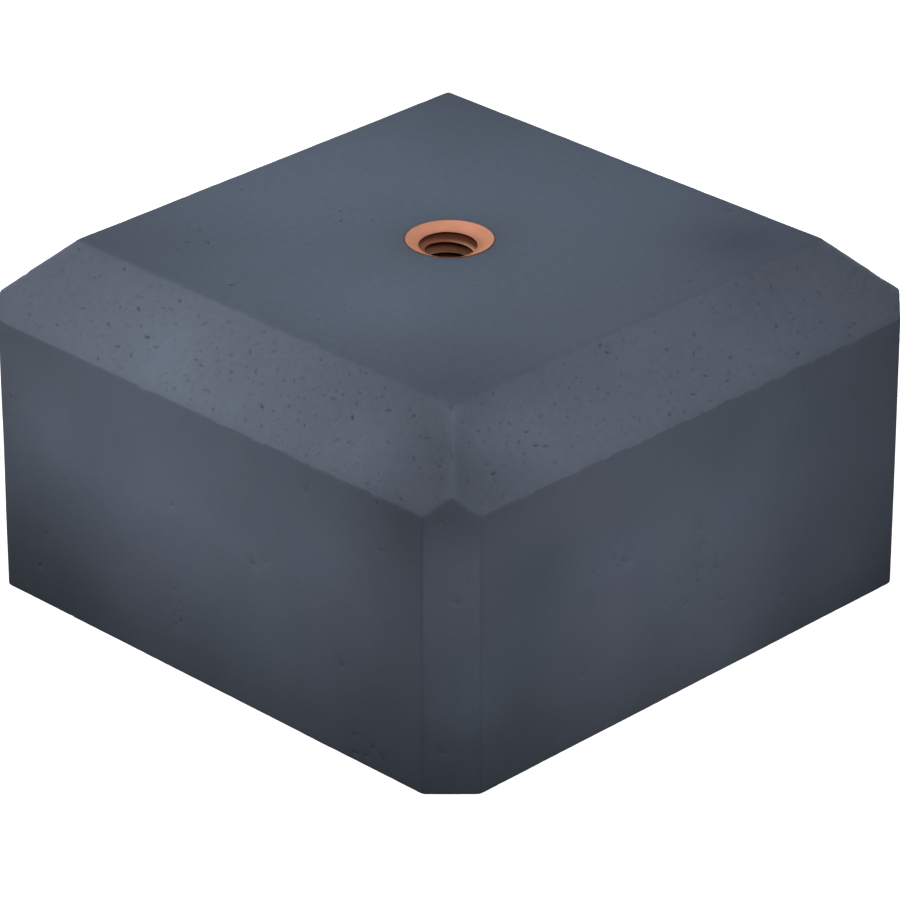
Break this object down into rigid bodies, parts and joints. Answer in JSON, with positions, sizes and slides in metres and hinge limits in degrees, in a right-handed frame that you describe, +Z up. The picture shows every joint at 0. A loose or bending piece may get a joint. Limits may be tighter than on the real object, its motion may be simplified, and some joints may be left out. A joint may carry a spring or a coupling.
{
  "type": "concrete pier block",
  "caption": "Square cast-concrete pier block with bevelled top edges and clipped corners, and a flared metal screw socket cast flush into the middle of its top.",
  "frame": {"origin": "middle of the block's flat underside, on the socket's axis", "axes": "+Z up along the socket's axis, out of its mouth; +X and +Y square to two of the block's four sides"},
  "size_m": [0.18, 0.18, 0.1],
  "materials": {
    "concrete": "matte",
    "coppered_metal": "satin"
  },
  "bodies": {
    "root": {"concrete_block": "concrete", "threaded_insert": "coppered_metal"}
  },
  "joints": []
}
